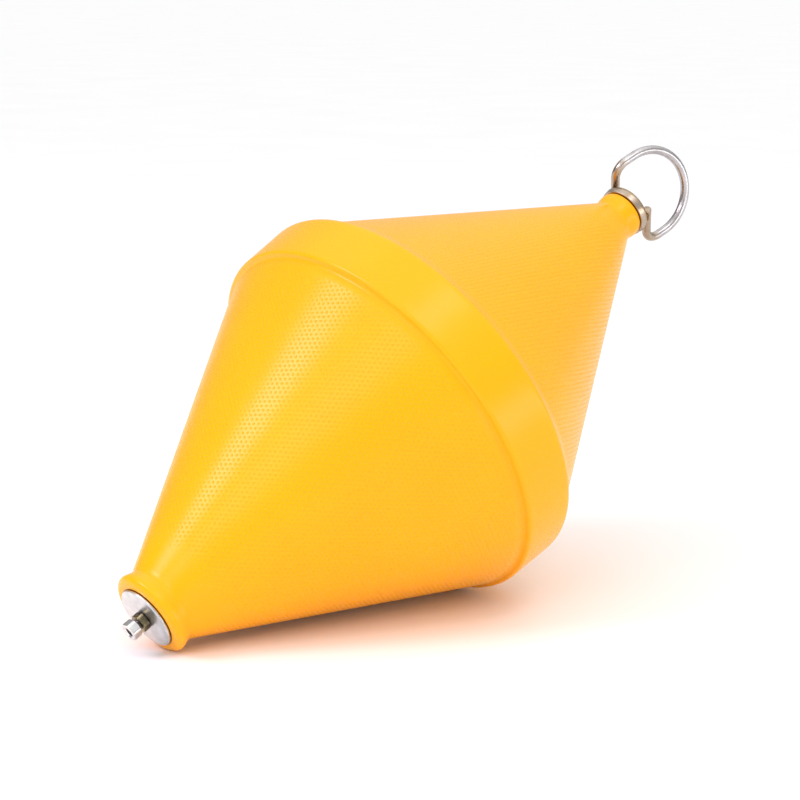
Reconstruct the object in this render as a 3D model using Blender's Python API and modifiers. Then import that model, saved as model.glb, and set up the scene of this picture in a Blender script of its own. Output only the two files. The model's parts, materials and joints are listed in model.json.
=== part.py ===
"""A double-cone marker buoy of about 400 mm by 700 mm, lying on the floor as it parks.

The yellow float is one moulding with a plain tube through its middle.  A steel tie rod runs
through the tube.  At one end it carries a dished plate, a jam nut and a taller end nut, and
at the other end a thick plate with a bent-bar mooring ring welded across it.  The rod, plates,
nuts and ring turn together in the float.

Everything is modelled upright along local +Z, from the nut end (0) to the ring end.  One empty
then lays the buoy down on its collar and its belt, and a second one carries what turns.
Units are metres, +Z is up.
"""

import math

import bpy
from mathutils import Vector

# ---------------------------------------------------------------- driving dimensions
ROUND_STEPS = 64                 # sides of the float, one of them flat on the floor
SMALL_STEPS = 36                 # sides of the plates
ROD_STEPS = 24                   # sides of the rod and of the holes around it
CROWN_STEPS = 25                 # stretches in the ring's half circle; odd, so one is in the middle
BEND_STEPS = 6                   # stretches in each of the ring's bends
EDGE_STEPS = 4                   # stretches in each rounding of a turned piece
DOME_STEPS = 5                   # stretches across the nut plate's domed face

FLOAT_LENGTH = 0.6860            # between the two end faces of the moulding
BELT_RADIUS = 0.1987             # at the belt's lower rim
BELT_FLARE = 0.0026              # how much wider the belt is at its upper edge
BELT_START = 0.2993              # station of the belt's lower rim
BELT_HEIGHT = 0.0547
BELT_RIM_ROUND = 0.0040          # rounding of the belt's lower rim
BELT_TOP_ROUND = 0.0040          # rounding of its upper edge, inwards
BELT_TOP_RISE = 0.0020           # and how far that rounding rises above the belt
GROOVE_DEPTH = 0.0080            # step from the belt's lower rim down to the lower cone
GROOVE_WIDTH = 0.0051            # width of the hollow fillet under the belt
SHOULDER_DEPTH = 0.0100          # soft step from the belt down to the upper cone
SHOULDER_WIDTH = 0.0087

NUT_COLLAR_RADIUS = 0.0421       # bead round the nut end
NUT_COLLAR_STATION = 0.0055      # where the bead is widest
NUT_COLLAR_FACE = 0.0345         # radius of the flat end face
NUT_NECK_RADIUS = 0.0395         # where the bead meets the lower cone
NUT_NECK_STATION = 0.0175

RING_COLLAR_RADIUS = 0.0256      # bead round the ring end
RING_COLLAR_SETBACK = 0.0055     # from the end face to where the bead is widest
RING_COLLAR_FACE = 0.0240
RING_NECK_RADIUS = 0.0240
RING_NECK_SETBACK = 0.0178

ROD_RADIUS = 0.0050              # M10 tie rod
ROD_CLEARANCE = 0.0010           # running gap round the rod inside the float's tube
ROD_RECESS = 0.0040              # how far the rod's end lies inside the end nut
ROD_PROUD = 0.0015               # how far the rod stands out of the ring plate
SEAT_GAP = 0.0003                # between pieces that touch

NUT_PLATE_RADIUS = 0.0309
NUT_PLATE_THICKNESS = 0.0027     # at the rim
NUT_PLATE_CROWN = 0.0006         # how far the middle stands above the rim
NUT_PLATE_LAND = 0.0130          # radius of the flat middle under the jam nut
NUT_PLATE_EDGE = 0.0008          # bevel of both rim edges

RING_PLATE_SEAT = 0.0268         # radius of the face against the float
RING_PLATE_RADIUS = 0.0275       # where the plate is widest
RING_PLATE_THICKNESS = 0.0105
RING_PLATE_ROUND = 0.0045        # rounding of the edge under the ring's feet
RING_PLATE_EDGE = 0.0005         # bevel of the edge against the float

NUT_ACROSS_FLATS = 0.0170        # M10
JAM_NUT_HEIGHT = 0.0075
END_NUT_HEIGHT = 0.0092
NUT_SPACING = 0.0028             # bare rod between the jam nut and the end nut
NUT_CHAMFER = math.radians(30.0)
CUTTER_REACH = 0.0050            # how far the nut cutters stand out of the nut

RING_BAR_RADIUS = 0.0047
RING_HALF_WIDTH = 0.0461         # axis to the centre-line of each leg
RING_LEG_HEIGHT = 0.0250         # from the feet up to the half circle, along the lean
RING_BEND_RADIUS = 0.0156        # centre-line radius where a leg bends into its foot
RING_FOOT_TURN = math.radians(27.2)   # feet turned out of the ring's own plane
RING_FOOT_LENGTH = 0.0483
RING_LEAN = math.radians(12.3)   # the loop leans out of the plane through the axis
RING_PARKED_TURN = math.radians(-3.4)  # how far the ring has swivelled from straight down

# ---------------------------------------------------------------- worked-out places
CONE_START_LOW = BELT_START - GROOVE_WIDTH
CONE_RADIUS_LOW = BELT_RADIUS - GROOVE_DEPTH
BELT_END = BELT_START + BELT_HEIGHT
BELT_RADIUS_HIGH = BELT_RADIUS + BELT_FLARE
CONE_START_HIGH = BELT_END + SHOULDER_WIDTH
CONE_RADIUS_HIGH = BELT_RADIUS_HIGH - SHOULDER_DEPTH

NUT_PLATE_FACE = -SEAT_GAP - NUT_PLATE_THICKNESS - NUT_PLATE_CROWN
JAM_NUT_BASE = NUT_PLATE_FACE - SEAT_GAP
JAM_NUT_END = JAM_NUT_BASE - JAM_NUT_HEIGHT
END_NUT_BASE = JAM_NUT_END - NUT_SPACING
END_NUT_END = END_NUT_BASE - END_NUT_HEIGHT
RING_PLATE_BASE = FLOAT_LENGTH + SEAT_GAP
RING_PLATE_TOP = RING_PLATE_BASE + RING_PLATE_THICKNESS
ROD_START = END_NUT_END + ROD_RECESS
ROD_END = RING_PLATE_TOP + ROD_PROUD
RING_FOOT_STATION = RING_PLATE_TOP + SEAT_GAP + RING_BAR_RADIUS


# ---------------------------------------------------------------- scene and materials
def clear_scene():
    """Remove every object, so that the script can be run again in the same file."""
    for item in list(bpy.data.objects):
        bpy.data.objects.remove(item, do_unlink=True)


def new_collection(name):
    """Make a collection and link it to the scene."""
    group = bpy.data.collections.new(name)
    bpy.context.scene.collection.children.link(group)
    return group


def new_material(name, colour, roughness, metallic):
    """Make a Principled material from a linear colour, a roughness and a metallic value."""
    material = bpy.data.materials.new(name)
    material.use_nodes = True
    shader = material.node_tree.nodes["Principled BSDF"]
    shader.inputs["Base Color"].default_value = (*colour, 1.0)
    shader.inputs["Roughness"].default_value = roughness
    shader.inputs["Metallic"].default_value = metallic
    return material


def new_object(name, data, group, parent=None):
    """Link a new object to a collection and hang it on its parent."""
    item = bpy.data.objects.new(name, data)
    group.objects.link(item)
    item.parent = parent
    return item


# ---------------------------------------------------------------- outlines
def arc(centre_r, centre_z, radius, start, end, steps):
    """Points (radius, station) on a circle from one angle to another, in degrees from +r."""
    angles = [math.radians(start + (end - start) * i / steps) for i in range(steps + 1)]
    return [(centre_r + radius * math.cos(a), centre_z + radius * math.sin(a)) for a in angles]


def quarter(start, end, bulge_first, steps):
    """Quarter-ellipse points from start to end, leaving along r (or along z) first."""
    points = []
    for i in range(1, steps + 1):
        turn = 0.5 * math.pi * i / steps
        rise, level = math.sin(turn), 1.0 - math.cos(turn)
        share_r, share_z = (rise, level) if bulge_first == "r" else (level, rise)
        points.append((start[0] + (end[0] - start[0]) * share_r,
                       start[1] + (end[1] - start[1]) * share_z))
    return points


def ring_collar_outline():
    """Ring end, from the end face round the bead and down to the upper cone."""
    face = (RING_COLLAR_FACE, FLOAT_LENGTH)
    widest = (RING_COLLAR_RADIUS, FLOAT_LENGTH - RING_COLLAR_SETBACK)
    neck = (RING_NECK_RADIUS, FLOAT_LENGTH - RING_NECK_SETBACK)
    return [face] + quarter(face, widest, "r", EDGE_STEPS) + quarter(widest, neck, "z", EDGE_STEPS)


def belt_outline():
    """Shoulder, belt and the hollow under its lower rim, from top to bottom."""
    cone_top = (CONE_RADIUS_HIGH, CONE_START_HIGH)
    shoulder = (BELT_RADIUS_HIGH - BELT_TOP_ROUND, BELT_END + BELT_TOP_RISE)
    upper_edge = (BELT_RADIUS_HIGH, BELT_END - BELT_TOP_ROUND)
    lower_edge = (BELT_RADIUS, BELT_START + BELT_RIM_ROUND)
    under = (BELT_RADIUS - BELT_RIM_ROUND, BELT_START)
    cone_low = (CONE_RADIUS_LOW, CONE_START_LOW)
    points = [cone_top, shoulder] + quarter(shoulder, upper_edge, "r", EDGE_STEPS)
    points += [lower_edge] + quarter(lower_edge, under, "z", EDGE_STEPS)
    return points + quarter(under, cone_low, "r", EDGE_STEPS)


def nut_collar_outline():
    """Nut end, from the lower cone's neck round the bead to the end face."""
    neck = (NUT_NECK_RADIUS, NUT_NECK_STATION)
    widest = (NUT_COLLAR_RADIUS, NUT_COLLAR_STATION)
    face = (NUT_COLLAR_FACE, 0.0)
    return [neck] + quarter(neck, widest, "r", EDGE_STEPS) + quarter(widest, face, "z", EDGE_STEPS)


def float_outline():
    """The whole outer side of the moulding, from the ring end down to the nut end."""
    return ring_collar_outline() + belt_outline() + nut_collar_outline()


# ---------------------------------------------------------------- shape makers
def turned(name, outline, steps, group, parent=None, closed=True):
    """Turn an outline of (radius, station) points about local Z with a Screw modifier."""
    mesh = bpy.data.meshes.new(name)
    count = len(outline)
    edges = [(i, (i + 1) % count) for i in range(count if closed else count - 1)]
    mesh.from_pydata([(r, 0.0, z) for r, z in outline], edges, [])
    item = new_object(name, mesh, group, parent)
    screw = item.modifiers.new("turn", "SCREW")
    screw.axis = "Z"
    screw.angle = 2.0 * math.pi
    screw.steps = steps
    screw.render_steps = steps
    screw.use_merge_vertices = True
    screw.merge_threshold = 0.00001
    screw.use_smooth_shade = True
    return item


def bored(outer, bore_radius):
    """Close an outer outline with a straight bore; the outline runs from top to bottom."""
    return outer + [(bore_radius, outer[-1][1]), (bore_radius, outer[0][1])]


def cutter_boolean(item, cutter, operation):
    """Add an exact Boolean modifier and keep its cutter as a wire guide."""
    cutter.hide_render = True
    cutter.display_type = "WIRE"
    boolean = item.modifiers.new(operation.lower(), "BOOLEAN")
    boolean.operation = operation
    boolean.solver = "EXACT"
    boolean.object = cutter


def take_primitive(name, group, parent):
    """Name the primitive that was just added, and move it to its collection and parent."""
    item = bpy.context.active_object
    item.name = name
    item.data.name = name
    for owner in list(item.users_collection):
        owner.objects.unlink(item)
    group.objects.link(item)
    item.parent = parent
    return item


def hex_nut(name, base, end, group, cutters, parent):
    """A hexagon nut from its base down to its chamfered outer end, bored for the rod."""
    corner = NUT_ACROSS_FLATS / math.sqrt(3.0)
    bpy.ops.mesh.primitive_cylinder_add(vertices=6, radius=corner, depth=base - end)
    nut = take_primitive(name, group, parent)
    nut.location = (0.0, 0.0, 0.5 * (base + end))

    flat = 0.5 * NUT_ACROSS_FLATS
    wide = corner + CUTTER_REACH
    above = base + CUTTER_REACH
    below = end - CUTTER_REACH
    slope_top = end + (wide - flat) * math.tan(NUT_CHAMFER)
    cone = [(0.0, above), (wide, above), (wide, slope_top), (flat, end), (0.0, end)]
    chamfer = turned(name + "_chamfer", cone, SMALL_STEPS, cutters, parent, closed=False)
    cutter_boolean(nut, chamfer, "INTERSECT")

    hole = ROD_RADIUS + SEAT_GAP
    sides = [(0.0, above), (hole, above), (hole, below), (0.0, below)]
    bore = turned(name + "_bore", sides, ROD_STEPS, cutters, parent, closed=False)
    cutter_boolean(nut, bore, "DIFFERENCE")
    return nut


def rounded_path(corners, radius, steps):
    """A path through the corner points with each inner corner rounded to a circular arc."""
    points = [corners[0]]
    for before, corner, after in zip(corners, corners[1:], corners[2:]):
        way_in = (corner - before).normalized()
        way_out = (after - corner).normalized()
        turn = way_in.angle(way_out)
        cut = radius * math.tan(0.5 * turn)
        side = (way_out - way_in).normalized()
        centre = corner + side * (radius / math.cos(0.5 * turn))
        start = corner - way_in * cut - centre
        finish = corner + way_out * cut - centre
        for i in range(steps + 1):
            share = i / steps
            blend = start * math.sin((1.0 - share) * turn) + finish * math.sin(share * turn)
            points.append(centre + blend / math.sin(turn))
    points.append(corners[-1])
    return points


def ring_path():
    """Centre-line of the ring: foot, bend, leaning leg, half circle, leg, bend, foot."""
    inward = Vector((-math.cos(RING_FOOT_TURN), -math.sin(RING_FOOT_TURN), 0.0)) * RING_FOOT_LENGTH
    rise = Vector((0.0, -math.sin(RING_LEAN), math.cos(RING_LEAN)))
    near = Vector((RING_HALF_WIDTH, 0.0, RING_FOOT_STATION))
    far = Vector((-RING_HALF_WIDTH, 0.0, RING_FOOT_STATION))
    leg = rise * RING_LEG_HEIGHT
    middle = Vector((0.0, 0.0, RING_FOOT_STATION)) + leg
    crown = []
    for i in range(1, CROWN_STEPS):
        turn = math.pi * i / CROWN_STEPS
        across = Vector((RING_HALF_WIDTH * math.cos(turn), 0.0, 0.0))
        crown.append(middle + across + rise * (RING_HALF_WIDTH * math.sin(turn)))
    first = rounded_path([near + inward, near, near + leg], RING_BEND_RADIUS, BEND_STEPS)
    last = rounded_path([far + leg, far, far - inward], RING_BEND_RADIUS, BEND_STEPS)
    return first + crown + last


# ---------------------------------------------------------------- the pieces
def make_float(group, parent):
    """The yellow moulding, turned so that a flat of it lies on the floor."""
    outline = bored(float_outline(), ROD_RADIUS + ROD_CLEARANCE)
    item = turned("float_body", outline, ROUND_STEPS, group, parent)
    item.rotation_euler = (0.0, 0.0, math.pi / ROUND_STEPS)
    item.data.materials.append(new_material("yellow_polyethylene", (0.98, 0.55, 0.015), 0.38, 0.0))
    return item


def make_rod(group, parent):
    """The tie rod through the float, from inside the end nut to above the ring plate."""
    length = ROD_END - ROD_START
    bpy.ops.mesh.primitive_cylinder_add(vertices=ROD_STEPS, radius=ROD_RADIUS, depth=length)
    rod = take_primitive("tie_rod", group, parent)
    rod.location = (0.0, 0.0, 0.5 * (ROD_START + ROD_END))
    rod.data.materials.append(new_material("rod_steel", (0.52, 0.51, 0.49), 0.30, 1.0))
    return rod


def make_nut_plate(group, parent):
    """The plate under the jam nut: a bevelled rim, a slightly domed face and a flat middle."""
    rim_face = -SEAT_GAP - NUT_PLATE_THICKNESS
    face_edge = (NUT_PLATE_RADIUS - NUT_PLATE_EDGE, rim_face)
    land_edge = (NUT_PLATE_LAND, NUT_PLATE_FACE)
    outline = [(NUT_PLATE_RADIUS - NUT_PLATE_EDGE, -SEAT_GAP),
               (NUT_PLATE_RADIUS, -SEAT_GAP - NUT_PLATE_EDGE),
               (NUT_PLATE_RADIUS, rim_face + NUT_PLATE_EDGE),
               face_edge] + quarter(face_edge, land_edge, "z", DOME_STEPS)
    item = turned("nut_end_plate", bored(outline, ROD_RADIUS + SEAT_GAP), SMALL_STEPS, group, parent)
    item.data.materials.append(new_material("satin_steel", (0.74, 0.73, 0.72), 0.26, 1.0))
    return item


def make_ring_plate(group, parent):
    """The thick plate under the ring: it widens from the float and has a rounded far edge."""
    inner = RING_PLATE_RADIUS - RING_PLATE_ROUND
    round_start = RING_PLATE_TOP - RING_PLATE_ROUND
    outline = arc(inner, round_start, RING_PLATE_ROUND, 90.0, 0.0, EDGE_STEPS)
    outline += [(RING_PLATE_SEAT, RING_PLATE_BASE + RING_PLATE_EDGE),
                (RING_PLATE_SEAT - RING_PLATE_EDGE, RING_PLATE_BASE)]
    item = turned("ring_end_plate", bored(outline, ROD_RADIUS + SEAT_GAP), SMALL_STEPS, group, parent)
    item.data.materials.append(new_material("heat_tinted_steel", (0.56, 0.46, 0.34), 0.32, 1.0))
    return item


def make_nuts(group, cutters, parent):
    """The dark jam nut on the plate and the bright end nut beyond it."""
    jam = hex_nut("jam_nut", JAM_NUT_BASE, JAM_NUT_END, group, cutters, parent)
    jam.data.materials.append(new_material("bronze_steel", (0.20, 0.17, 0.12), 0.35, 1.0))
    end = hex_nut("end_nut", END_NUT_BASE, END_NUT_END, group, cutters, parent)
    end.data.materials.append(new_material("bright_steel", (0.78, 0.77, 0.76), 0.18, 1.0))
    return [jam, end]


def make_ring(group, parent):
    """The bent-bar mooring ring with its two feet across the plate."""
    points = ring_path()
    curve = bpy.data.curves.new("mooring_ring", "CURVE")
    curve.dimensions = "3D"
    curve.bevel_depth = RING_BAR_RADIUS
    curve.bevel_resolution = 2
    curve.use_fill_caps = True
    spline = curve.splines.new("POLY")
    spline.points.add(len(points) - 1)
    for slot, point in zip(spline.points, points):
        slot.co = (*point, 1.0)
    item = new_object("mooring_ring", curve, group, parent)
    item.rotation_euler = (0.0, 0.0, RING_PARKED_TURN)
    curve.materials.append(new_material("ring_steel", (0.70, 0.69, 0.69), 0.16, 1.0))
    return item


# ---------------------------------------------------------------- parking on the floor
def resting_tilt():
    """Angle of the axis to the floor when the nut end's bead and the belt's rim touch it.

    The floor is the line that touches both and has the whole outline on one side.
    """
    flat_share = math.cos(math.pi / ROUND_STEPS)
    beads = [(z, r * flat_share) for r, z in nut_collar_outline()]
    rims = [(z, r * flat_share) for r, z in belt_outline()]
    best = None
    for z_low, r_low in beads:
        for z_high, r_high in rims:
            slope = (r_high - r_low) / (z_high - z_low)
            above = max(r - r_low - slope * (z - z_low) for z, r in beads + rims)
            if best is None or above < best[0]:
                best = (above, slope)
    return math.atan(best[1])


def world_bounds(items):
    """Lowest and highest world corners of the evaluated objects."""
    bpy.context.view_layer.update()
    graph = bpy.context.evaluated_depsgraph_get()
    low = Vector((math.inf, math.inf, math.inf))
    high = -low
    for item in items:
        evaluated = item.evaluated_get(graph)
        mesh = evaluated.to_mesh()
        for vertex in mesh.vertices:
            point = evaluated.matrix_world @ vertex.co
            low = Vector(map(min, low, point))
            high = Vector(map(max, high, point))
        evaluated.to_mesh_clear()
    return low, high


def park(axis, items):
    """Lay the buoy down and centre it, so that the origin is under the middle of its box."""
    axis.rotation_euler = (0.0, 0.5 * math.pi - resting_tilt(), 0.0)
    low, high = world_bounds(items)
    axis.location = (-0.5 * (low.x + high.x), -0.5 * (low.y + high.y), -low.z)


def main():
    """Build the buoy."""
    clear_scene()
    group = new_collection("marker_buoy")
    cutters = new_collection("cutters")
    axis = new_object("buoy_axis", None, group)
    swivel = new_object("swivel_axis", None, group, axis)
    pieces = [make_float(group, axis), make_rod(group, swivel), make_nut_plate(group, swivel)]
    pieces += make_nuts(group, cutters, swivel)
    pieces += [make_ring_plate(group, swivel), make_ring(group, swivel)]
    park(axis, pieces)


main()
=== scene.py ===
import json
import math

import bpy
import numpy as np
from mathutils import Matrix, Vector


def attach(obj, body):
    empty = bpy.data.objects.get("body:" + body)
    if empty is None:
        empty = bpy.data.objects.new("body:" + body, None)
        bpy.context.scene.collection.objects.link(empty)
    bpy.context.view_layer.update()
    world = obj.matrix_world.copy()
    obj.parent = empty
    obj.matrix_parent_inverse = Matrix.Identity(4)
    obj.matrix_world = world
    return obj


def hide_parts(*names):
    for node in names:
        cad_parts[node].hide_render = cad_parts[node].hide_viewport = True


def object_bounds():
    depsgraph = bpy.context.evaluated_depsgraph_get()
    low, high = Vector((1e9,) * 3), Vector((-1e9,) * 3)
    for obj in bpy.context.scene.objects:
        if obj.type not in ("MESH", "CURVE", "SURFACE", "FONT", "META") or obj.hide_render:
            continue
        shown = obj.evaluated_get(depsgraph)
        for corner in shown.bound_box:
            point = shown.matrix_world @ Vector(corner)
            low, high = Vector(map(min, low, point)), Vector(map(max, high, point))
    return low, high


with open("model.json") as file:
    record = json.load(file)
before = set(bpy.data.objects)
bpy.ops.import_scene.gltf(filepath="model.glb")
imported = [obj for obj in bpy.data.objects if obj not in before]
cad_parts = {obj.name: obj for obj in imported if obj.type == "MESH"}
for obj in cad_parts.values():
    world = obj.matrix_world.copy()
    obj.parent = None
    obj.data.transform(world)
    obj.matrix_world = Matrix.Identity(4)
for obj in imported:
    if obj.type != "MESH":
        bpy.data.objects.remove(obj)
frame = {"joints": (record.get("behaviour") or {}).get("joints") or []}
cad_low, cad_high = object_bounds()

# The buoy's surfaces are worked out in its own frame: x points down from the axis, y across,
# and z runs along the axis from the float's nut end (0) to its ring end.  place() carries
# them to where the buoy lies.  Lengths are in metres.

# ---------------------------------------------------------------- sizes of the CAD pieces
FLOAT_SIDES = 64
FLOAT_LENGTH = 0.6860
BELT_RADIUS = 0.1987
BELT_FLARE = 0.0026
BELT_START = 0.2993
BELT_HEIGHT = 0.0547
BELT_RIM_ROUND = 0.0040
BELT_TOP_ROUND = 0.0040
BELT_TOP_RISE = 0.0020
GROOVE_DEPTH = 0.0080
GROOVE_WIDTH = 0.0051
SHOULDER_DEPTH = 0.0100
SHOULDER_WIDTH = 0.0087
NUT_COLLAR_RADIUS = 0.0421
NUT_COLLAR_STATION = 0.0055
NUT_COLLAR_FACE = 0.0345
NUT_NECK_RADIUS = 0.0395
NUT_NECK_STATION = 0.0175
RING_COLLAR_RADIUS = 0.0256
RING_COLLAR_SETBACK = 0.0055
RING_COLLAR_FACE = 0.0240
RING_NECK_RADIUS = 0.0240
RING_NECK_SETBACK = 0.0178
BORE_RADIUS = 0.0060
SEAT_GAP = 0.0003
ROD_RADIUS = 0.0050
ROD_RECESS = 0.0040
ROD_PROUD = 0.0015
NUT_PLATE_RADIUS = 0.0309
NUT_PLATE_THICKNESS = 0.0027
NUT_PLATE_CROWN = 0.0006
NUT_PLATE_LAND = 0.0130
RING_PLATE_SEAT = 0.0268
RING_PLATE_RADIUS = 0.0275
RING_PLATE_THICKNESS = 0.0105
RING_PLATE_ROUND = 0.0045
NUT_ACROSS_FLATS = 0.0170
JAM_NUT_HEIGHT = 0.0075
END_NUT_HEIGHT = 0.0092
NUT_SPACING = 0.0028
RING_BAR_RADIUS = 0.0046
RING_AXIS_HEIGHT = 0.0047
RING_HALF_WIDTH = 0.0461
RING_LEG_HEIGHT = 0.0250
RING_BEND_RADIUS = 0.0156
RING_FOOT_TURN = math.radians(27.2)
RING_FOOT_LENGTH = 0.0483
RING_LEAN = math.radians(12.3)
RING_PARKED_TURN = math.radians(-3.4)

# ---------------------------------------------------------------- sizes of the fine detail
THREAD_PITCH = 0.0015
THREAD_DEPTH = 0.00075
THREADED_LENGTH = 0.024          # of the rod, at each of its ends
THREAD_RUN_OUT = 0.002           # over which the rod's thread fades into its plain middle
THREAD_ROOT = 0.0043             # inner radius of the end nut's thread
NUT_THREAD_DEPTH = 0.8 * THREAD_DEPTH
THREAD_LEAD = 0.0002             # short step at each end of a nut's bore and thread
COUNTERSINK = 0.0058             # radius of the nut's countersink at its face
ROD_EASE = 0.00005               # the rod's skin lies this far inside its CAD node
ROD_BEVEL = 0.0010
NUT_EASE = 0.0001                # a nut's skin is this much narrower, and its bore this much clear of the rod
NUT_BORE_BEVEL = 0.0004
NUT_CORNER_ROUND = 0.0005
NUT_CORNER_SOFTNESS = 0.35       # as a share of the corner round
NUT_LAND = 0.94                  # a nut's flat face, as a share of its width across flats
NUT_CHAMFER = math.radians(30.0)
NUT_TURN = math.radians(-4.0)
DOT_ROW_SPACING = 0.00425        # between rows of the cones' embossed dots
DOT_GENERATOR = math.radians(-155.0)   # line on the cones that the dot rows follow
DOT_DEPTH = 0.00034
DOT_FADE = 0.006                 # over which the dots fade beside the belt
DOTS_FROM_NUT_END = (0.030, 0.060)     # stations over which they fade in on the lower cone
DOTS_FROM_RING_NECK = (0.045, 0.015)   # distances from the upper cone's end over which they fade out
SEAT_SHADOW_PAST_RIM = (0.0002, 0.0013)      # radii past the nut plate's rim over which the painted shadow line fades
SEAT_SHADOW_FROM_FACE = (0.0010, 0.0002)     # distances from the ring-end face over which the painted shadow line sets in
FACE_DEPTH = 0.0004              # stations below this one belong to the nut-end face
BAR_END_ROUND = 0.0012
RING_TEMPER = 0.34               # heat tint of the ring's feet, which fades where they bend
RING_TEMPER_FADE = (-0.006, 0.016)     # distances past the foot's length over which it fades
PLATE_TEMPER = (0.12, 0.30)      # heat tint at the ring plate's seat, and its rise towards the ring
PLATE_TEMPER_START = 0.002
WELD_TEMPER = 0.55
# painted shade inside the end nut's thread
THREAD_SHADOW = 0.9
BEAD_RADIUS = 0.0019
BEAD_OFFSET = 0.0034             # from the foot's centre line to a bead's, on either side
BEAD_HEIGHT = 0.0011             # of a bead's centre line over the plate
BEAD_END_GAP = 0.001             # a bead stops at least this short of the foot's cut end
BEAD_RIPPLES = ((0.00018, 46.0), (0.00012, 23.0))    # depth, and radians over a bead's length
TAU = 2.0 * math.pi

# ---------------------------------------------------------------- steps round each turned piece
FLOAT_STEPS = 256
PLATE_STEPS = 128
NUT_STEPS = 144
ROD_STEPS = 48
ROD_ROWS_PER_PITCH = 8
BAR_STEPS = 36
BEAD_STEPS = 14
BEAD_ROWS = 70

# ---------------------------------------------------------------- camera
CAMERA_PLACE = (-1.4043, -1.5920, 0.6208)
CAMERA_YAW = 0.85986             # radians from the x axis to its line of sight
CAMERA_PITCH = 0.20004           # radians that it looks down
CAMERA_LENS_MM = 99.0
CAMERA_SENSOR_MM = 36.0

# ---------------------------------------------------------------- places along the buoy
BELT_END = BELT_START + BELT_HEIGHT
BELT_RADIUS_HIGH = BELT_RADIUS + BELT_FLARE
LOW_CONE = ((NUT_NECK_RADIUS, NUT_NECK_STATION), (BELT_RADIUS - GROOVE_DEPTH, BELT_START - GROOVE_WIDTH))
HIGH_CONE = ((BELT_RADIUS_HIGH - SHOULDER_DEPTH, BELT_END + SHOULDER_WIDTH),
             (RING_NECK_RADIUS, FLOAT_LENGTH - RING_NECK_SETBACK))
NUT_PLATE_FACE = -SEAT_GAP - NUT_PLATE_THICKNESS - NUT_PLATE_CROWN
JAM_NUT_BASE = NUT_PLATE_FACE - SEAT_GAP
JAM_NUT_END = JAM_NUT_BASE - JAM_NUT_HEIGHT
END_NUT_BASE = JAM_NUT_END - NUT_SPACING
END_NUT_END = END_NUT_BASE - END_NUT_HEIGHT
RING_PLATE_BASE = FLOAT_LENGTH + SEAT_GAP
RING_PLATE_TOP = RING_PLATE_BASE + RING_PLATE_THICKNESS
RING_FOOT_STATION = RING_PLATE_TOP + SEAT_GAP + RING_AXIS_HEIGHT

swivel = frame["joints"][0]
AXIS_FOOT = np.array(swivel["pos_m"])
ALONG = np.array(swivel["axis"]) / np.linalg.norm(swivel["axis"])
ACROSS = np.array([0.0, 1.0, 0.0])
DOWN = np.cross(ACROSS, ALONG)


# ---------------------------------------------------------------- placing and mesh making
def place(points):
    """World points: the axis foot plus x times down, y times across and z times along."""
    return AXIS_FOOT + points[..., 0:1] * DOWN + points[..., 1:2] * ACROSS + points[..., 2:3] * ALONG


def signed_volume(points, faces):
    """Volume from the sum of the triple products of each quad's two triangles, over six."""
    a, b, c, d = (points[faces[:, k]] for k in range(4))
    first = np.einsum("ij,ij->i", a, np.cross(b, c))
    second = np.einsum("ij,ij->i", a, np.cross(c, d))
    return float(first.sum() + second.sum()) / 6.0


def grid_faces(rows, columns, close_rows):
    """Quads that join each grid point to the next along both ways.

    The columns wrap round, and so do the rows where they close.
    """
    i, j = np.meshgrid(np.arange(rows if close_rows else rows - 1), np.arange(columns), indexing="ij")
    i, j = i.ravel(), j.ravel()
    up, right = (i + 1) % rows, (j + 1) % columns
    return np.stack([i * columns + j, i * columns + right, up * columns + right, up * columns + j], 1)


def make_piece(name, grid, body, material, close_rows=False,
               replaces=(), attributes=None, corner_uv=None, sharp=None):
    """A closed surface from a grid of buoy-frame points.

    Where the rows don't close, the first and last rows are capped with one flat face each.
    Faces are turned outwards by the sign of the enclosed volume.
    """
    rows, columns = grid.shape[:2]
    points = place(grid).reshape(-1, 3)
    faces = grid_faces(rows, columns, close_rows)
    inside_out = signed_volume(points - points.mean(0), faces) < 0.0
    caps = []
    if not close_rows:
        caps = [tuple(range(columns))[::-1], tuple(range((rows - 1) * columns, rows * columns))]
    outline = [tuple(face) for face in faces.tolist()] + caps
    if inside_out:
        outline = [face[::-1] for face in outline]
    mesh = bpy.data.meshes.new(name)
    mesh.from_pydata(points.tolist(), [], outline)
    for key, values in (attributes or {}).items():
        layer = mesh.attributes.new(key, "FLOAT", "POINT")
        layer.data.foreach_set("value", np.ascontiguousarray(values, np.float32).ravel())
    if corner_uv is not None:
        corners = corner_uv.reshape(-1, 4, 2)
        if inside_out:
            corners = corners[:, ::-1]
        layer = mesh.uv_layers.new(name="rolled_out")
        layer.data.foreach_set("uv", corners.astype(np.float32).ravel())
    mesh.shade_smooth()
    if sharp is not None:
        mesh.set_sharp_from_angle(angle=math.radians(sharp))
    mesh.materials.append(material)
    mesh.validate()
    piece = bpy.data.objects.new(name, mesh)
    bpy.context.scene.collection.objects.link(piece)
    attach(piece, body)
    if replaces:
        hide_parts(*replaces)


def turned(profile, steps, start=0.0):
    """Grid of a (radius, station) profile turned about the axis in equal steps."""
    turn = start + TAU * np.arange(steps) / steps
    radius, station = profile[:, 0:1], profile[:, 1:2]
    return np.stack([radius * np.cos(turn), radius * np.sin(turn), station + 0.0 * turn], -1)


def line(start, finish, steps):
    """Points from start to finish, start left out."""
    share = np.linspace(0.0, 1.0, steps + 1)[1:, None]
    return np.array(start) + share * (np.array(finish) - np.array(start))


def quarter(start, finish, leaves, steps):
    """Quarter ellipse from start to finish, start left out, leaving along r or along z."""
    turn = np.linspace(0.0, 0.5 * math.pi, steps + 1)[1:]
    rise, level = np.sin(turn), 1.0 - np.cos(turn)
    share = np.stack([rise, level] if leaves == "r" else [level, rise], 1)
    return np.array(start) + share * (np.array(finish) - np.array(start))


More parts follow.
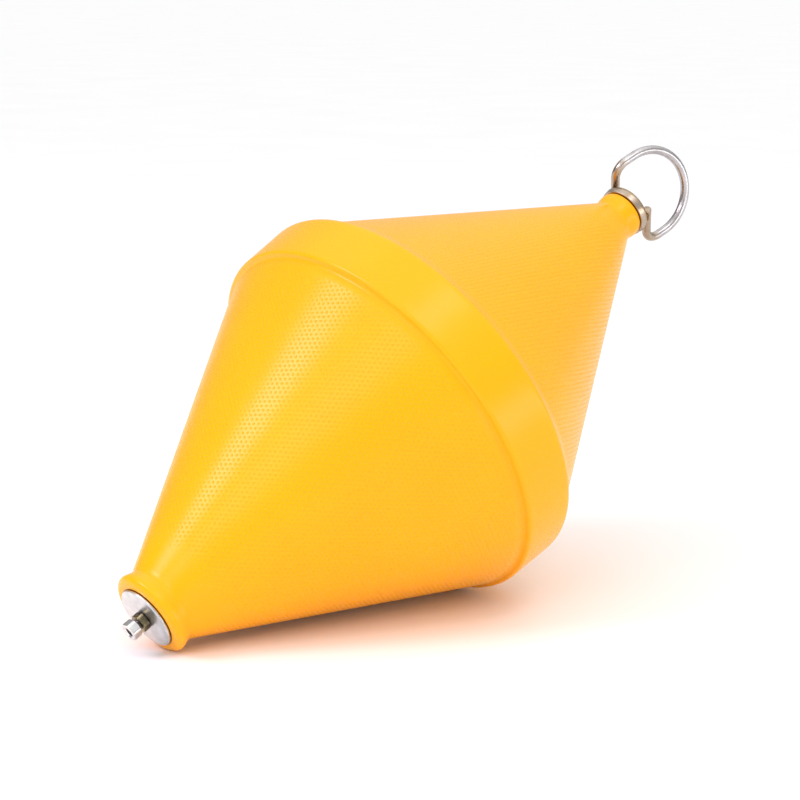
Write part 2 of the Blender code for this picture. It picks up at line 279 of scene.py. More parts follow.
def ease(start, finish, steps):
    """Points whose radius eases from start to finish by a cubic while the station runs evenly."""
    share = np.linspace(0.0, 1.0, steps + 1)[1:]
    eased = share * share * (3.0 - 2.0 * share)
    return np.array(start) + np.stack([eased, share], 1) * (np.array(finish) - np.array(start))


def smooth_step(low, high, value):
    """0 below low, 1 above high and a cubic ease between them."""
    t = np.clip((value - low) / (high - low), 0.0, 1.0)
    return t * t * (3.0 - 2.0 * t)


def band(value, low, low_full, high_full, high):
    """1 from low_full to high_full, easing to 0 at low and at high."""
    return smooth_step(low, low_full, value) * (1.0 - smooth_step(high_full, high, value))


# ---------------------------------------------------------------- materials
def math_node(tree, operation, first, second=None, third=None):
    """A Math node fed by sockets or by plain numbers."""
    item = tree.nodes.new("ShaderNodeMath")
    item.operation = operation
    for slot, value in enumerate((first, second, third)):
        if value is None:
            continue
        if isinstance(value, (int, float)):
            item.inputs[slot].default_value = value
        else:
            tree.links.new(value, item.inputs[slot])
    return item.outputs[0]


def ramp(tree, value, stops):
    """A colour ramp of (position, linear colour) stops."""
    item = tree.nodes.new("ShaderNodeValToRGB")
    tree.links.new(value, item.inputs[0])
    elements = item.color_ramp.elements
    while len(elements) < len(stops):
        elements.new(0.5)
    for element, (position, colour) in zip(elements, stops):
        element.position = position
        element.color = (*colour, 1.0)
    return item.outputs[0]


def noise(tree, vector, scale, detail=3.0, roughness=0.5, stretch=None):
    """Noise on a vector, drawn out along an axis where stretch is given."""
    if stretch is not None:
        mapping = tree.nodes.new("ShaderNodeMapping")
        mapping.inputs["Scale"].default_value = stretch
        tree.links.new(vector, mapping.inputs[0])
        vector = mapping.outputs[0]
    item = tree.nodes.new("ShaderNodeTexNoise")
    item.inputs["Scale"].default_value = scale
    item.inputs["Detail"].default_value = detail
    item.inputs["Roughness"].default_value = roughness
    tree.links.new(vector, item.inputs["Vector"])
    return item.outputs["Fac"]


def attribute(tree, name):
    """The value of one of the piece's own point attributes."""
    item = tree.nodes.new("ShaderNodeAttribute")
    item.attribute_name = name
    return item.outputs["Fac"]


def mix(tree, share, first, second, blend="MIX"):
    """Colour mix of two sockets or plain colours."""
    item = tree.nodes.new("ShaderNodeMix")
    item.data_type, item.blend_type = "RGBA", blend
    if isinstance(share, (int, float)):
        item.inputs[0].default_value = share
    else:
        tree.links.new(share, item.inputs[0])
    sockets = [socket for socket in item.inputs if socket.type == "RGBA"]
    for socket, value in zip(sockets, (first, second)):
        if isinstance(value, tuple):
            socket.default_value = (*value, 1.0)
        else:
            tree.links.new(value, socket)
    return next(socket for socket in item.outputs if socket.type == "RGBA")


def bump(tree, height, distance, normal=None, strength=1.0):
    """A Bump node, chained on another one's normal where given."""
    item = tree.nodes.new("ShaderNodeBump")
    item.inputs["Distance"].default_value = distance
    item.inputs["Strength"].default_value = strength
    tree.links.new(height, item.inputs["Height"])
    if normal is not None:
        tree.links.new(normal, item.inputs["Normal"])
    return item.outputs[0]


def new_material(name):
    """A Principled material, its tree, its shader and its Object coordinates."""
    material = bpy.data.materials.new(name)
    material.use_nodes = True
    tree = material.node_tree
    shader = tree.nodes["Principled BSDF"]
    coordinates = tree.nodes.new("ShaderNodeTexCoord").outputs["Object"]
    return material, tree, shader, coordinates


BLACK, WHITE = (0.0, 0.0, 0.0), (1.0, 1.0, 1.0)
YELLOW_DEEP, YELLOW_BRIGHT = (0.97, 0.405, 0.0), (1.0, 0.430, 0.0)
# painted shade: the yellow that the base darkens to in the cones' dimples
YELLOW_DIMPLE_SHADE = (0.84, 0.325, 0.0)
# painted shadow: the dark line in the gap round each end plate's seat
SEAT_SHADOW_COLOUR = (0.11, 0.042, 0.012)
# painted shade: the dark colour inside the end nut's thread
THREAD_SHADOW_COLOUR = (0.05, 0.045, 0.04)
HEAT_TINTS = [(0.10, (0.55, 0.42, 0.24)), (0.35, (0.38, 0.23, 0.07)),
              (0.65, (0.19, 0.105, 0.04)), (0.95, (0.26, 0.18, 0.14))]


def moulded_yellow():
    """Satin yellow polyethylene: dots in a triangular lattice on the rolled-out cones, with painted shade in
    their dimples.

    The lattice's height is the mean of three cosines, whose lines lie 60 degrees apart.
    """
    material, tree, shader, where = new_material("moulded_yellow")
    rolled = tree.nodes.new("ShaderNodeUVMap")
    rolled.uv_map = "rolled_out"
    wave = TAU / DOT_ROW_SPACING
    waves = []
    for angle in (math.radians(90.0), math.radians(30.0), math.radians(-30.0)):
        along = tree.nodes.new("ShaderNodeVectorMath")
        along.operation = "DOT_PRODUCT"
        along.inputs[1].default_value = (wave * math.cos(angle), wave * math.sin(angle), 0.0)
        tree.links.new(rolled.outputs[0], along.inputs[0])
        waves.append(math_node(tree, "COSINE", along.outputs["Value"]))
    total = math_node(tree, "ADD", math_node(tree, "ADD", waves[0], waves[1]), waves[2])
    lattice = math_node(tree, "MULTIPLY", total, 1.0 / 3.0)
    dots = math_node(tree, "MULTIPLY", lattice, attribute(tree, "embossed"))
    dimples = ramp(tree, dots, [(0.15, BLACK), (0.95, WHITE)])

    patches = noise(tree, where, scale=7.0, detail=3.0, roughness=0.55)
    base = ramp(tree, patches, [(0.30, YELLOW_DEEP), (0.70, YELLOW_BRIGHT)])
    # painted shade: the base darkens a little in the dimples
    base = mix(tree, math_node(tree, "MULTIPLY", dimples, 0.24), base, YELLOW_DIMPLE_SHADE)
    # painted shadow: the dark line round each end plate's seat
    base = mix(tree, attribute(tree, "seat_shadow"), base, SEAT_SHADOW_COLOUR)
    tree.links.new(base, shader.inputs["Base Color"])

    # roughness: a plain level, a little more where the grain rises, and more in the dimples
    grain = noise(tree, where, scale=900.0, detail=2.0, roughness=0.5)
    rough = math_node(tree, "MULTIPLY_ADD", grain, 0.06, 0.24)
    rough = math_node(tree, "ADD", rough, math_node(tree, "MULTIPLY", dimples, 0.28))
    tree.links.new(rough, shader.inputs["Roughness"])
    shader.inputs["Specular IOR Level"].default_value = 0.25

    # relief: the moulding's slow waviness, its grain and the dimples sunk into it
    waviness = noise(tree, where, scale=22.0, detail=2.0, roughness=0.5)
    normal = bump(tree, waviness, distance=0.0006, strength=0.35)
    normal = bump(tree, grain, distance=0.00004, normal=normal)
    sunk = math_node(tree, "MULTIPLY", dimples, -1.0)
    tree.links.new(bump(tree, sunk, distance=DOT_DEPTH, normal=normal), shader.inputs["Normal"])
    return material


def steel(name, light, dark, roughness, streaks, tint=None, scale=60.0, shadowed=False):
    """Steel with cloudy colour, fine scratches and, where tint is given, heat colours.

    The heat colours follow the piece's own attribute "tempered", from 0 far away to 1 at a weld;
    where shadowed is set, another attribute paints shade inside a thread.
    """
    material, tree, shader, where = new_material(name)
    shader.inputs["Metallic"].default_value = 1.0
    clouds = noise(tree, where, scale, detail=4.0, roughness=0.6)
    colour = ramp(tree, clouds, [(0.30, dark), (0.70, light)])
    if tint is not None:
        patches = noise(tree, where, scale=130.0, detail=3.0)
        heat = math_node(tree, "ADD", attribute(tree, "tempered"),
                         math_node(tree, "MULTIPLY_ADD", patches, 0.3, -0.15))
        share = ramp(tree, heat, [(0.05, BLACK), (0.55, WHITE)])
        colour = mix(tree, share, colour, ramp(tree, heat, tint))
    if shadowed:
        # painted shade inside a thread
        colour = mix(tree, attribute(tree, "thread_shadow"), colour, THREAD_SHADOW_COLOUR)
    tree.links.new(colour, shader.inputs["Base Color"])
    # roughness: the given level, half a step up or down with the scratches and with the clouds
    scratches = noise(tree, where, scale=700.0, detail=3.0, roughness=0.6, stretch=streaks)
    rough = math_node(tree, "MULTIPLY_ADD", scratches, 0.14, roughness - 0.07)
    rough = math_node(tree, "ADD", rough, math_node(tree, "MULTIPLY_ADD", clouds, 0.16, -0.08))
    tree.links.new(rough, shader.inputs["Roughness"])
    tree.links.new(bump(tree, scratches, distance=0.00003), shader.inputs["Normal"])
    return material


yellow = moulded_yellow()
satin_steel = steel("satin_steel", light=(0.78, 0.815, 0.82), dark=(0.46, 0.485, 0.50),
                    roughness=0.30, streaks=(1.0, 6.0, 1.0), scale=45.0)
tinted_steel = steel("heat_tinted_steel", light=(0.52, 0.46, 0.41), dark=(0.34, 0.27, 0.20),
                     roughness=0.30, streaks=(1.0, 4.0, 1.0), tint=HEAT_TINTS, scale=90.0)
bronze_steel = steel("bronze_steel", light=(0.50, 0.42, 0.20), dark=(0.05, 0.04, 0.05),
                     roughness=0.14, streaks=(3.0, 1.0, 1.0), scale=75.0)
bright_steel = steel("bright_steel", light=(0.84, 0.83, 0.82), dark=(0.62, 0.61, 0.60),
                     roughness=0.15, streaks=(3.0, 1.0, 1.0), shadowed=True)
# the rod's dark steel is partly painted shade, for its end deep in the end nut's hole
rod_steel = steel("rod_steel", light=(0.36, 0.35, 0.33), dark=(0.14, 0.13, 0.12),
                  roughness=0.28, streaks=(1.0, 1.0, 1.0), scale=200.0)
ring_steel = steel("polished_ring_steel", light=(0.56, 0.54, 0.54), dark=(0.38, 0.36, 0.36),
                   roughness=0.25, streaks=(1.0, 5.0, 5.0), tint=HEAT_TINTS)
weld_steel = steel("weld_steel", light=(0.42, 0.35, 0.27), dark=(0.18, 0.13, 0.09),
                   roughness=0.34, streaks=(1.0, 1.0, 1.0), tint=HEAT_TINTS, scale=260.0)


# ---------------------------------------------------------------- the float
def float_profile():
    """The moulding's outline from the ring end face down its outer side, then back up the bore."""
    face = (RING_COLLAR_FACE, FLOAT_LENGTH)
    widest = (RING_COLLAR_RADIUS, FLOAT_LENGTH - RING_COLLAR_SETBACK)
    neck = (RING_NECK_RADIUS, FLOAT_LENGTH - RING_NECK_SETBACK)
    shoulder = (BELT_RADIUS_HIGH - BELT_TOP_ROUND, BELT_END + BELT_TOP_RISE)
    upper_edge = (BELT_RADIUS_HIGH, BELT_END - BELT_TOP_ROUND)
    lower_edge = (BELT_RADIUS, BELT_START + BELT_RIM_ROUND)
    under = (BELT_RADIUS - BELT_RIM_ROUND, BELT_START)
    nut_neck = (NUT_NECK_RADIUS, NUT_NECK_STATION)
    nut_widest = (NUT_COLLAR_RADIUS, NUT_COLLAR_STATION)
    nut_face = (NUT_COLLAR_FACE, 0.0)
    under_plate = (NUT_PLATE_RADIUS - 0.001, 0.0)
    parts = [line((BORE_RADIUS, FLOAT_LENGTH), face, 3),
             quarter(face, widest, "r", 10), ease(widest, neck, 14),
             line(neck, HIGH_CONE[0], 60),
             line(HIGH_CONE[0], shoulder, 4), quarter(shoulder, upper_edge, "r", 8),
             line(upper_edge, lower_edge, 12), quarter(lower_edge, under, "z", 8),
             quarter(under, LOW_CONE[1], "r", 8),
             line(LOW_CONE[1], nut_neck, 60),
             ease(nut_neck, nut_widest, 14), quarter(nut_widest, nut_face, "z", 10),
             line(nut_face, under_plate, 8), line(under_plate, (BORE_RADIUS, 0.0), 3),
             line((BORE_RADIUS, 0.0), (BORE_RADIUS, FLOAT_LENGTH), 8)]
    return np.concatenate(parts)


def rolled_out(cone, station, turn):
    """Flat coordinates of a cone's skin, as it lies when it is cut open and rolled out.

    A point lies at its slant distance from the cone's tip, at the turn from the dots' own
    generator times the share of a full circle that the rolled-out cone covers.
    """
    (low_radius, low_station), (high_radius, high_station) = cone
    slope = (high_radius - low_radius) / (high_station - low_station)
    tip = low_station - low_radius / slope
    slant = np.abs(station - tip) * math.hypot(1.0, slope)
    share = abs(slope) / math.hypot(1.0, slope)
    angle = (turn - DOT_GENERATOR - TAU) * share
    return np.stack([slant * np.cos(angle), slant * np.sin(angle)], -1)


def build_float():
    """The yellow moulding, smooth, with the two cones' dots carried by an attribute and a UV map.

    "embossed" is 1 on the cones and eases to 0 at their ends; a second attribute marks the painted
    shadow line in the gap round each end plate's seat.
    """
    # the skin runs through the middles of the CAD float's flat sides
    profile = float_profile() * np.array([math.cos(math.pi / FLOAT_SIDES), 1.0])
    radius, station = profile[:, 0], profile[:, 1]
    outer = radius > 1.5 * BORE_RADIUS
    low_end, high_start, high_end = LOW_CONE[1][1], HIGH_CONE[0][1], HIGH_CONE[1][1]
    low = band(station, *DOTS_FROM_NUT_END, low_end - DOT_FADE, low_end)
    high = band(station, high_start, high_start + DOT_FADE,
                high_end - DOTS_FROM_RING_NECK[0], high_end - DOTS_FROM_RING_NECK[1])
    # painted shadow line round each end plate's seat: past the nut plate's rim and under the ring plate's
    # edge
    past_rim = smooth_step(*SEAT_SHADOW_PAST_RIM, radius - NUT_PLATE_RADIUS)
    nut_seat = (1.0 - past_rim) * (station < FACE_DEPTH)
    ring_seat = smooth_step(FLOAT_LENGTH - SEAT_SHADOW_FROM_FACE[0], FLOAT_LENGTH - SEAT_SHADOW_FROM_FACE[1], station)
    marks = {"embossed": (low + high) * outer, "seat_shadow": (nut_seat + ring_seat) * outer}
    marks = {key: np.repeat(values[:, None], FLOAT_STEPS, 1) for key, values in marks.items()}

    # the seam lies half a turn from the dots' generator
    start = DOT_GENERATOR + math.pi
    turn, height = np.meshgrid(start + TAU * np.arange(FLOAT_STEPS + 1) / FLOAT_STEPS, station)
    upper = height > 0.5 * (BELT_START + BELT_END)
    flat = np.where(upper[..., None], rolled_out(HIGH_CONE, height, turn),
                    rolled_out(LOW_CONE, height, turn))
    after = np.roll(flat, -1, 0)
    corners = np.stack([flat[:, :-1], flat[:, 1:], after[:, 1:], after[:, :-1]], 2)
    make_piece("float_moulding", turned(profile, FLOAT_STEPS, start), "float", yellow,
               close_rows=True, replaces=["float_body"], attributes=marks, corner_uv=corners)


# ---------------------------------------------------------------- plates, rod and nuts
def build_nut_plate():
    """The nut-end plate: rounded rim, slightly domed face, flat middle and a plain bore."""
    rim = 0.0009
    back, front = -SEAT_GAP, -SEAT_GAP - NUT_PLATE_THICKNESS
    bore = ROD_RADIUS + SEAT_GAP
    outer = NUT_PLATE_RADIUS
    profile = np.concatenate([
        [(bore, back)], line((bore, back), (outer - rim, back), 4),
        quarter((outer - rim, back), (outer, back - rim), "r", 4),
        line((outer, back - rim), (outer, front + rim), 2),
        quarter((outer, front + rim), (outer - rim, front), "z", 5),
        quarter((outer - rim, front), (NUT_PLATE_LAND, NUT_PLATE_FACE), "z", 24),
        line((NUT_PLATE_LAND, NUT_PLATE_FACE), (bore, NUT_PLATE_FACE), 4)])
    make_piece("nut_end_plate_skin", turned(profile, PLATE_STEPS), "mooring_gear",
               satin_steel, close_rows=True, replaces=["nut_end_plate"], sharp=40.0)


def build_ring_plate():
    """The ring-end plate: bevelled seat edge, widening flank and a rounded edge under the ring."""
    bevel = 0.0006
    bore = ROD_RADIUS + SEAT_GAP
    base, top = RING_PLATE_BASE, RING_PLATE_TOP
    seat, outer = RING_PLATE_SEAT, RING_PLATE_RADIUS
    profile = np.concatenate([
        [(bore, top)], line((bore, top), (outer - RING_PLATE_ROUND, top), 6),
        quarter((outer - RING_PLATE_ROUND, top), (outer, top - RING_PLATE_ROUND), "r", 12),
        line((outer, top - RING_PLATE_ROUND), (seat, base + bevel), 6),
        quarter((seat, base + bevel), (seat - bevel, base), "z", 4),
        line((seat - bevel, base), (bore, base), 4)])
    grid = turned(profile, PLATE_STEPS)
    least, rise = PLATE_TEMPER
    tempered = least + rise * smooth_step(base + PLATE_TEMPER_START, top, grid[..., 2])
    make_piece("ring_end_plate_skin", grid, "mooring_gear", tinted_steel, close_rows=True,
               replaces=["ring_end_plate"], attributes={"tempered": tempered}, sharp=40.0)


def thread_wave(station, turn):
    """0 at a thread's root and 1 at its crest: a triangle wave of station over pitch less turns."""
    phase = station / THREAD_PITCH - turn / TAU
    return 1.0 - np.abs(2.0 * (phase - np.floor(phase)) - 1.0)


def build_rod():
    """The tie rod, threaded over both its ends and plain between them, with bevelled ends.

    The radius is the rod's, less the thread's depth times how far the point is from a crest, and
    never more than the bevel leaves near an end.
    """
    start, end = END_NUT_END + ROD_RECESS, RING_PLATE_TOP + ROD_PROUD
    fine = int(THREADED_LENGTH / THREAD_PITCH * ROD_ROWS_PER_PITCH)
    station = np.concatenate([np.linspace(start, start + THREADED_LENGTH, fine),
                              np.linspace(start + THREADED_LENGTH, end - THREADED_LENGTH, 40)[1:-1],
                              np.linspace(end - THREADED_LENGTH, end, fine)])
    turn = TAU * np.arange(ROD_STEPS) / ROD_STEPS
    z, t = np.meshgrid(station, turn, indexing="ij")
    from_end = np.minimum(z - start, end - z)
    threaded = 1.0 - smooth_step(THREADED_LENGTH - THREAD_RUN_OUT, THREADED_LENGTH, from_end)
    radius = ROD_RADIUS - ROD_EASE - threaded * THREAD_DEPTH * (1.0 - thread_wave(z, t))
    radius = np.minimum(radius, ROD_RADIUS - ROD_BEVEL + from_end)
    grid = np.stack([radius * np.cos(t), radius * np.sin(t), z], -1)
    make_piece("threaded_tie_rod", grid, "mooring_gear", rod_steel,
               replaces=["tie_rod"], sharp=50.0)


def hexagon(turn, across_flats, corner_round):
    """Radius of a hexagon at each angle: half the flats over the cosine to the nearest flat.

    Towards the corners a soft minimum caps it: the cap, less the softness times the logarithm of
    one plus e to the power of how far the radius falls short of the cap, over the softness.
    """
    sixth = math.pi / 3.0
    nearest = (turn + 0.5 * sixth) % sixth - 0.5 * sixth
    plain = 0.5 * across_flats / np.cos(nearest)
    cap = across_flats / math.sqrt(3.0) - corner_round
    softness = NUT_CORNER_SOFTNESS * corner_round
    return cap - softness * np.log1p(np.exp((cap - plain) / softness))


def build_nut(name, node, base, end, material, open_thread):
    """A hexagon nut from base to end: a 30 degree chamfer cuts its corners at both faces.

    The side's height at each angle ends where the chamfer cone reaches the hexagon's radius.
    An open nut shows its countersink and its thread past the rod's end, the thread darkened by painted shade.
    """
    turn = TAU * np.arange(NUT_STEPS) / NUT_STEPS
    side = hexagon(turn - NUT_TURN, NUT_ACROSS_FLATS - NUT_EASE, NUT_CORNER_ROUND)
    land = 0.5 * NUT_ACROSS_FLATS * NUT_LAND
    drop = np.maximum(side - land, 0.0) * math.tan(NUT_CHAMFER)
    bore = ROD_RADIUS + NUT_EASE
    mouth = COUNTERSINK if open_thread else bore + NUT_BORE_BEVEL
    rows, shade_rows = [], []

    def row(radius, station, shade_share=0.0):
        shade_rows.append(np.full(NUT_STEPS, shade_share))
        rows.append(np.stack([radius * np.cos(turn), radius * np.sin(turn), station + 0.0 * turn], -1))

    def between(first, second, count):
        for share in np.linspace(0.0, 1.0, count + 1)[1:]:
            row(first[0] + share * (second[0] - first[0]), first[1] + share * (second[1] - first[1]))

    row(bore, base)
    between((bore, base), (land, base), 2)
    between((land, base), (side, base - drop), 3)
    between((side, base - drop), (side, end + drop), 6)
    between((side, end + drop), (land, end), 3)
    between((land, end), (mouth, end), 2)
    last = end + NUT_BORE_BEVEL
    if open_thread:
        sink = end + COUNTERSINK - THREAD_ROOT
        inside = end + ROD_RECESS - SEAT_GAP
        last = inside + THREAD_LEAD
        between((mouth, end), (THREAD_ROOT + THREAD_LEAD, sink - THREAD_LEAD), 3)
        # the thread's rows carry painted shade
        for station in np.linspace(sink, inside, 20):
            row(THREAD_ROOT + NUT_THREAD_DEPTH * (1.0 - thread_wave(station, turn)), station, THREAD_SHADOW)
        mouth, end = THREAD_ROOT + NUT_THREAD_DEPTH, inside
    between((mouth, end), (bore, last), 1)
    between((bore, last), (bore, base - THREAD_LEAD), 3)
    make_piece(name, np.stack(rows), "mooring_gear", material, close_rows=True,
               replaces=[node], attributes={"thread_shadow": np.stack(shade_rows)}, sharp=22.0)


# ---------------------------------------------------------------- the mooring ring
def unit(vector):
    """The vector over its length."""
    return vector / np.linalg.norm(vector)


def bend(before, corner, after, radius, steps):
    """Points of the arc that rounds the corner between two straight stretches."""
    way_in, way_out = unit(corner - before), unit(after - corner)
    turn = math.acos(float(np.clip(way_in @ way_out, -1.0, 1.0)))
    centre = corner + unit(way_out - way_in) * radius / math.cos(0.5 * turn)
    start = corner - way_in * radius * math.tan(0.5 * turn) - centre
    finish = corner + way_out * radius * math.tan(0.5 * turn) - centre
    share = np.linspace(0.0, 1.0, steps + 1)[:, None]
    return centre + (start * np.sin((1.0 - share) * turn) + finish * np.sin(share * turn)) / math.sin(turn)


def ring_frame():
    """The ring's own points: the feet's corners, the inward run of a foot and the lean's rise."""
    inward = np.array([-math.cos(RING_FOOT_TURN), -math.sin(RING_FOOT_TURN), 0.0]) * RING_FOOT_LENGTH
    rise = np.array([0.0, -math.sin(RING_LEAN), math.cos(RING_LEAN)])
    near = np.array([RING_HALF_WIDTH, 0.0, RING_FOOT_STATION])
    far = np.array([-RING_HALF_WIDTH, 0.0, RING_FOOT_STATION])
    return inward, rise, near, far


def ring_line():
    """Centre line of the bar: foot, bend, leg, half circle, leg, bend and foot."""
    inward, rise, near, far = ring_frame()
    leg = rise * RING_LEG_HEIGHT
    middle = np.array([0.0, 0.0, RING_FOOT_STATION]) + leg
    turn = np.linspace(0.0, math.pi, 97)[:, None]
    sideways = np.array([1.0, 0.0, 0.0])
    crown = middle + RING_HALF_WIDTH * (np.cos(turn) * sideways + np.sin(turn) * rise)
    first = bend(near + inward, near, near + leg, RING_BEND_RADIUS, 20)
    last = bend(far + leg, far, far - inward, RING_BEND_RADIUS, 20)
    foot_in = np.linspace(near + inward, first[0], 16)[:-1]
    foot_out = np.linspace(last[-1], far - inward, 16)[1:]
    leg_up = np.linspace(first[-1], crown[0], 6)[1:-1]
    leg_down = np.linspace(crown[-1], last[0], 6)[1:-1]
    return np.concatenate([foot_in, first, leg_up, crown, leg_down, last, foot_out])


def turn_about_axis(points, angle):
    """The points turned about the buoy's axis."""
    c, s = math.cos(angle), math.sin(angle)
    return np.stack([points[..., 0] * c - points[..., 1] * s, points[..., 0] * s + points[..., 1] * c,
                     points[..., 2]], -1)


def tube(path, radius, sides):
    """A circle carried along a path without twist: at each point its first direction is the last
    one's, less the part of it that lies along the tangent."""
    tangent = np.gradient(path, axis=0)
    tangent /= np.linalg.norm(tangent, axis=1, keepdims=True)
    frames = [unit(np.cross(tangent[0], [0.0, 0.0, 1.0]))]
    for ahead in tangent[1:]:
        frames.append(unit(frames[-1] - ahead * (frames[-1] @ ahead)))
    first = np.array(frames)
    second = np.cross(tangent, first)
    turn = TAU * np.arange(sides) / sides
    size = np.broadcast_to(radius, (len(path),))[:, None, None]
    circle = first[:, None] * np.cos(turn)[None, :, None] + second[:, None] * np.sin(turn)[None, :, None]
    return path[:, None] + circle * size


def with_ends(path, radius, round_off, steps=4):
    """The path and its radii with both cut ends rounded off by a quarter circle.

    At an angle on it, the point lies round_off times one less the cosine in from the end, and the
    radius is smaller by round_off times one less the sine.
    """
    angle = np.linspace(0.0, 0.5 * math.pi, steps + 1)[:-1]
    inset = round_off * (1.0 - np.cos(angle))[:, None]
    sizes = radius - round_off * (1.0 - np.sin(angle))
    first, last = unit(path[1] - path[0]), unit(path[-1] - path[-2])
    near_start = np.arange(len(path)) < len(path) // 2
    depth = np.where(near_start, (path - path[0]) @ first, (path[-1] - path) @ last)
    middle = path[depth > 1.01 * round_off]
    return (np.concatenate([path[0] + first * inset, middle, path[-1] - last * inset[::-1]]),
            np.concatenate([sizes, np.full(len(middle), radius), sizes[::-1]]))


def build_ring():
    """The mooring ring: a smooth bar with heat colours that fade away from its welded feet."""
    path, radius = with_ends(ring_line(), RING_BAR_RADIUS, BAR_END_ROUND)
    path = turn_about_axis(path, RING_PARKED_TURN)
    run = np.concatenate([[0.0], np.cumsum(np.linalg.norm(np.diff(path, axis=0), axis=1))])
    from_end = np.minimum(run, run[-1] - run)
    cold = smooth_step(*RING_TEMPER_FADE, from_end - RING_FOOT_LENGTH)
    tempered = np.repeat((RING_TEMPER * (1.0 - cold))[:, None], BAR_STEPS, 1)
    make_piece("mooring_ring_bar", tube(path, radius, BAR_STEPS), "mooring_gear", ring_steel,
               replaces=["mooring_ring"], attributes={"tempered": tempered}, sharp=50.0)


def build_welds():
    """Four rippled weld beads, one along each side of each foot where it crosses the plate.

    A bead's centre line is the chord that the plate's top cuts from the line beside the foot. Its
    radius falls off by the eighth power of the distance from its middle, with two sine ripples.
    """
    inward, _, near, far = ring_frame()
    plate_top_radius = RING_PLATE_RADIUS - 0.6 * RING_PLATE_ROUND
    share = np.linspace(0.0, 1.0, BEAD_ROWS)
    for label, corner, way in (("near", near, unit(inward)), ("far", far, -unit(inward))):
        sideways = np.cross([0.0, 0.0, 1.0], way)
        for side_name, side in (("left", -1.0), ("right", 1.0)):
            base = corner + sideways * side * BEAD_OFFSET
            base[2] = RING_PLATE_TOP + BEAD_HEIGHT
            middle = -(base[:2] @ way[:2])
            off_axis = base[:2] @ base[:2] - middle ** 2
            half_chord = math.sqrt(plate_top_radius ** 2 - off_axis)
            begin = middle - half_chord
            stop = min(RING_FOOT_LENGTH - BEAD_END_GAP, middle + half_chord)
            path = base + way * (begin + (stop - begin) * share)[:, None]
            (fine, fine_turn), (slow, slow_turn) = BEAD_RIPPLES
            ripple = (fine * np.sin(share * fine_turn + side)
                      + slow * np.sin(share * slow_turn + 2.0 * side))
            size = BEAD_RADIUS * np.sqrt(np.clip(1.0 - (2.0 * share - 1.0) ** 8, 0.02, 1.0)) + ripple
            grid = tube(turn_about_axis(path, RING_PARKED_TURN), size, BEAD_STEPS)
            make_piece("weld_bead_%s_%s" % (label, side_name), grid, "mooring_gear",
                       weld_steel, attributes={"tempered": np.full(grid.shape[:2], WELD_TEMPER)}, sharp=60.0)


build_float()
build_nut_plate()
build_ring_plate()
build_rod()
build_nut("jam_nut_bronze", "jam_nut", JAM_NUT_BASE, JAM_NUT_END, bronze_steel, open_thread=False)
build_nut("end_nut_bright", "end_nut", END_NUT_BASE, END_NUT_END, bright_steel, open_thread=True)
build_ring()
build_welds()


# ---------------------------------------------------------------- floor, light and camera
def build_floor():
    """A wide pale floor, a little mottled."""
    half = 40.0
    mesh = bpy.data.meshes.new("floor")
    mesh.from_pydata([(-half, -half, 0.0), (half, -half, 0.0), (half, half, 0.0), (-half, half, 0.0)],
                     [], [(0, 1, 2, 3)])
    material, tree, shader, where = new_material("pale_floor")
    mottle = ramp(tree, noise(tree, where, scale=3.0),
                  [(0.3, (0.93, 0.93, 0.93)), (0.7, (0.95, 0.95, 0.95))])
    tree.links.new(mottle, shader.inputs["Base Color"])
    shader.inputs["Roughness"].default_value = 0.9
    shader.inputs["Specular IOR Level"].default_value = 0.1
    mesh.materials.append(material)
    floor = bpy.data.objects.new("floor", mesh)
    bpy.context.scene.collection.objects.link(floor)


def add_softbox(name, aim, direction, distance, width, height, power, colour):
    """An area light at a distance from its aim, in a direction from it, that looks back at it."""
    light = bpy.data.lights.new(name, "AREA")
    light.shape = "RECTANGLE"
    light.size = width
    light.size_y = height
    light.energy = power
    light.color = colour
    item = bpy.data.objects.new(name, light)
    away = unit(np.array(direction, float))
    item.location = (np.array(aim) + away * distance).tolist()
    item.rotation_mode = "QUATERNION"
    item.rotation_quaternion = Vector((-away).tolist()).to_track_quat("-Z", "Y")
    bpy.context.scene.collection.objects.link(item)


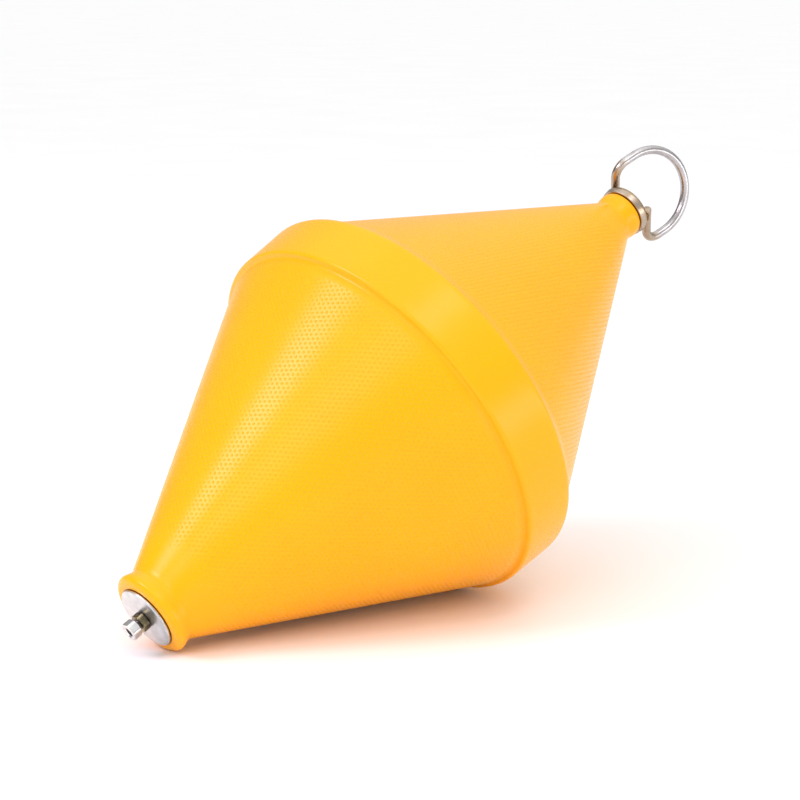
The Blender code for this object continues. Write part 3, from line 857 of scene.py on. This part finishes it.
def build_world():
    """Soft studio surroundings: bright overhead, darker low down and on the side behind the buoy."""
    world = bpy.data.worlds.new("studio")
    bpy.context.scene.world = world
    world.use_nodes = True
    tree = world.node_tree
    split = tree.nodes.new("ShaderNodeSeparateXYZ")
    tree.links.new(tree.nodes.new("ShaderNodeTexCoord").outputs["Generated"], split.inputs[0])
    x, y, z = split.outputs
    sky = ramp(tree, z, [(0.0, (0.46, 0.46, 0.47)), (0.14, (0.40, 0.40, 0.41)),
                         (0.50, (0.54, 0.54, 0.55)), (0.80, WHITE)])
    behind = math_node(tree, "ADD", math_node(tree, "MULTIPLY", x, -0.36),
                       math_node(tree, "MULTIPLY", y, 0.88))
    behind = math_node(tree, "MULTIPLY_ADD", z, 0.30, behind)
    shade = ramp(tree, behind, [(0.60, WHITE), (0.85, (0.50, 0.50, 0.50))])
    background = tree.nodes["Background"]
    tree.links.new(mix(tree, 1.0, sky, shade, "MULTIPLY"), background.inputs["Color"])
    background.inputs["Strength"].default_value = 1.45


def build_camera():
    """A long lens that looks down a little on the buoy's nut end."""
    data = bpy.data.cameras.new("camera")
    data.sensor_width = CAMERA_SENSOR_MM
    data.lens = CAMERA_LENS_MM
    data.clip_end = 200.0
    camera = bpy.data.objects.new("camera", data)
    camera.location = CAMERA_PLACE
    camera.rotation_euler = (0.5 * math.pi - CAMERA_PITCH, 0.0, CAMERA_YAW - 0.5 * math.pi)
    bpy.context.scene.collection.objects.link(camera)
    bpy.context.scene.camera = camera


build_floor()
build_world()
add_softbox("softbox_left", aim=(-0.22, -0.04, 0.22), direction=(-0.73, 0.27, 0.62), distance=2.4,
            width=0.85, height=0.75, power=25.0, colour=(1.0, 0.80, 0.94))
add_softbox("softbox_over", aim=(-0.12, -0.14, 0.30), direction=(0.0, -0.50, 0.86), distance=2.6,
            width=0.8, height=0.6, power=6.5, colour=(1.0, 0.86, 0.95))
add_softbox("softbox_front", aim=(-0.2, -0.10, 0.24), direction=(-0.80, -0.36, 0.47), distance=3.0,
            width=1.7, height=0.7, power=13.0, colour=(1.0, 0.86, 0.96))
add_softbox("softbox_side", aim=0.5 * (np.array(cad_low) + np.array(cad_high)),
            direction=(0.40, -0.90, 0.0), distance=3.4, width=3.2, height=0.7, power=26.0, colour=WHITE)
build_camera()
bpy.context.scene.view_settings.view_transform = "Standard"
